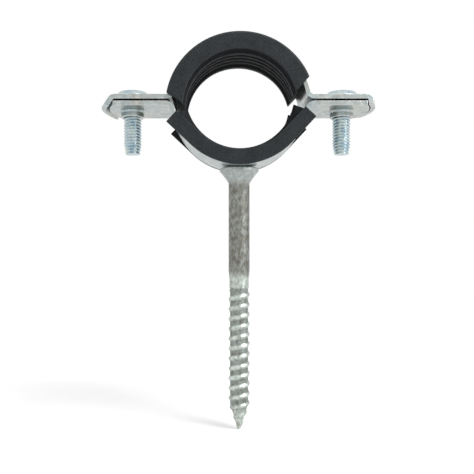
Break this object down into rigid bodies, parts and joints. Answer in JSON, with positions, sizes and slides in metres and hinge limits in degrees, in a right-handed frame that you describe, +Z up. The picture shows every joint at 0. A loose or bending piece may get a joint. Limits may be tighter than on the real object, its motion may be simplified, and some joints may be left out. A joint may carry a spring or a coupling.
{
  "type": "rubber lined pipe clamp",
  "caption": "Two-half steel pipe clamp with ribbed rubber linings, hooked ears, clamp screws and a welded coach screw for fixing to wood or a wall plug.",
  "frame": {"origin": "middle of the joint between the two halves, on the axis of the pipe they hold, halfway along the band's width", "axes": "+Z up, away from the coach screw, which points along -Z; X along the ears; Y along the pipe"},
  "size_m": [0.092, 0.023, 0.1317],
  "materials": {
    "zinc_strip": "bright zinc-plated steel strip",
    "zinc_screw": "bright zinc-plated machine screw",
    "zinc_coach_screw": "zinc-plated forged screw with a mottled shank",
    "lining_rubber": "matt black moulded rubber"
  },
  "bodies": {
    "lower_half": {"lower_band": "zinc_strip", "lower_lining": "lining_rubber", "coach_screw": "zinc_coach_screw"},
    "upper_half": {"upper_band": "zinc_strip", "upper_lining": "lining_rubber"},
    "left_screw": {"clamp_screw_left": "zinc_screw"},
    "right_screw": {"clamp_screw_right": "zinc_screw"}
  },
  "joints": [
    {"name": "upper_half_lift", "type": "slide", "parent": "lower_half", "child": "upper_half", "axis": [0, 0, 1], "range_m": [0, 0.017]},
    {"name": "clamp_screw_left_turn", "type": "hinge", "parent": "upper_half", "child": "left_screw", "pos_m": [-0.0362, 0, 0], "axis": [0, 0, 1], "range_deg": [0, 6120]},
    {"name": "clamp_screw_right_turn", "type": "hinge", "parent": "upper_half", "child": "right_screw", "pos_m": [0.0348, 0, 0], "axis": [0, 0, 1], "range_deg": [0, 6120]}
  ],
  "couplings": [
    {"joint": "clamp_screw_left_turn", "follows": "upper_half_lift", "rad_per_m": 6283.2},
    {"joint": "clamp_screw_right_turn", "follows": "upper_half_lift", "rad_per_m": 6283.2}
  ]
}
